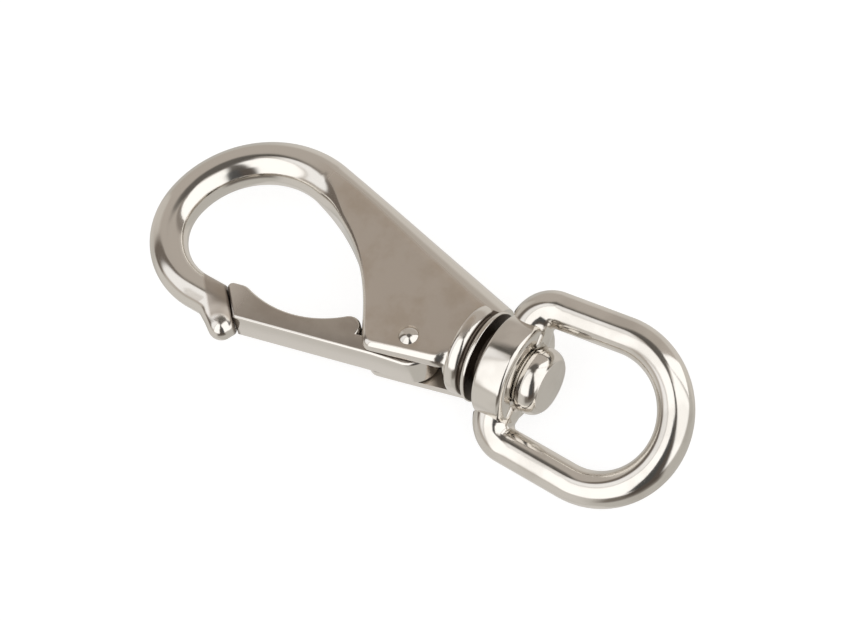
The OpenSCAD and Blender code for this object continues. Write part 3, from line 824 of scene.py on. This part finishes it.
studio = {"wall": (0.50, 0.46, 0.42, 1), "floor": (0.62, 0.60, 0.56, 1), "floorSeen": (0.35, 0.35, 0.35, 1),
          "floorGlow": 0.82, "floorHalf": 1.5, "floorDrop": 0.00002, "bright": 1.32}
white = (1, 1, 1, 1)


def glowing(tree, strength):
    return node(tree, "ShaderNodeEmission", None, {"Color": white, "Strength": strength})


def lightPath(tree, kind):
    return node(tree, "ShaderNodeLightPath", output=kind)


def addFloor():  # white to the camera, paler to the light, and left out of reflections
    bm = bmesh.new()
    bmesh.ops.create_grid(bm, x_segments=1, y_segments=1, size=studio["floorHalf"])
    floor = toObject(shift(bm, (0, 0, cadBox[0].z - studio["floorDrop"])), "floor")
    material = bpy.data.materials.new("floor")
    tree = emptyTree(material)
    pale = node(tree, "ShaderNodeBsdfDiffuse", None, {"Color": studio["floor"]})
    shown = node(tree, "ShaderNodeBsdfDiffuse", None, {"Color": studio["floorSeen"]})
    shown = node(tree, "ShaderNodeAddShader", None, {0: shown, 1: glowing(tree, studio["floorGlow"])})
    both = node(tree, "ShaderNodeMixShader", None, {0: lightPath(tree, "Is Camera Ray"), 1: pale, 2: shown})
    hidden = node(tree, "ShaderNodeBsdfTransparent")
    toOutput(tree, node(tree, "ShaderNodeMixShader", None, {0: lightPath(tree, "Is Glossy Ray"), 1: both, 2: hidden}))
    floor.data.materials.append(material)


cards = [  # bearings in degrees, distance and heights in metres, and how bright each card is
    {"name": "whiteCard", "from": 38, "to": 66, "away": 0.15, "low": 0.004, "high": 0.36, "strength": 1.32},
    {"name": "darkCard", "from": -70, "to": -47, "away": 0.15, "low": 0.01, "high": 0.25, "strength": 0.08}]


def addCard(card):  # a curved card beside the eye, for the metal alone to mirror
    bm = bmesh.new()
    bmesh.ops.create_circle(bm, cap_ends=False, segments=360, radius=card["away"])
    outside = [v for v in bm.verts if not card["from"] <= angleOf(v.co) <= card["to"]]
    bmesh.ops.delete(bm, geom=outside, context="VERTS")
    grown = bmesh.ops.extrude_edge_only(bm, edges=bm.edges)
    shift(bm, (0, 0, card["high"] - card["low"]), vertsOf(grown["geom"]))
    shift(bm, (0, 0, card["low"]))
    piece = toObject(bm, card["name"])
    material = bpy.data.materials.new(card["name"])
    tree = emptyTree(material)
    toOutput(tree, glowing(tree, card["strength"]))
    piece.data.materials.append(material)
    piece.visible_camera = piece.visible_diffuse = piece.visible_shadow = piece.visible_transmission = False


def addWorld():
    world = bpy.data.worlds.new("studio")
    bpy.context.scene.world = world
    tree = emptyTree(world)
    heading = node(tree, "ShaderNodeTexCoord", output="Generated")
    x, y, z = (partOf(tree, heading, letter) for letter in "XYZ")
    around = x.maths("ARCTAN2", y, x) * (180 / math.pi)
    around = x.maths("WRAP", around, 520.0, 160.0)  # azimuths run from 160 to 520 degrees
    height = z.maths("ARCSINE", z) * (180 / math.pi)
    colour = studio["wall"]
    bright = (studio["bright"],) * 3
    panels = [  # azimuths, elevations, softness, colour, and how far the azimuths lean with height
        (100, 580, -120, -1, 10, (0.55, 0.535, 0.505), 0),
        (196, 266, -50, -2, 16, (0.68, 0.66, 0.63), 0),
        (162, 276, -100, -54, 12, (0.70, 0.68, 0.655), 0),
        (274, 332, -26, 5, 12, (0.20, 0.18, 0.16), 0),
        (128, 182, -38, 30, 22, (0.64, 0.61, 0.57), 0),
        (414, 486, -46, 6, 18, (0.68, 0.65, 0.61), 0),
        (100, 580, 78, 200, 9, (0.12, 0.11, 0.10), 0),
        (100, 182, 64, 200, 8, (0.09, 0.085, 0.075), 0),
        (397, 580, 65, 200, 10, (0.13, 0.12, 0.11), 0),
        (190, 212, -2, 62, 9, (0.17, 0.145, 0.125), 0.38),
        (211, 245, 13, 72, 10, (1.05, 1.05, 1.06), 0.38),
        (249, 305, 2, 79, 7, bright, 0.38),
        (262, 298, 2, 79, 8, bright, 0),
        (322, 396, 0, 74, 10, bright, 0),
        (298, 324, 30, 86, 9, (0.10, 0.09, 0.08), 0),
        (292, 327, -14, 42, 10, (0.10, 0.085, 0.075), 0),
        (397, 422, 3, 64, 12, (0.27, 0.24, 0.215), 0),
    ]
    for start, end, low, high, soft, shade, lean in panels:
        azimuth = around + lean * height if lean else around
        mask = between(tree, azimuth, start, end, soft) * between(tree, height, low, high, soft)
        colour = blendColour(tree, mask, colour, (*shade, 1))
    colour = blendColour(tree, lightPath(tree, "Is Camera Ray"), colour, white)
    back = node(tree, "ShaderNodeBackground", None, {"Color": colour, "Strength": 1.0})
    toOutput(tree, back, "ShaderNodeOutputWorld")


addFloor()
for card in cards:
    addCard(card)
addWorld()
bpy.context.scene.view_settings.view_transform = "Standard"
print("floor and light in place")
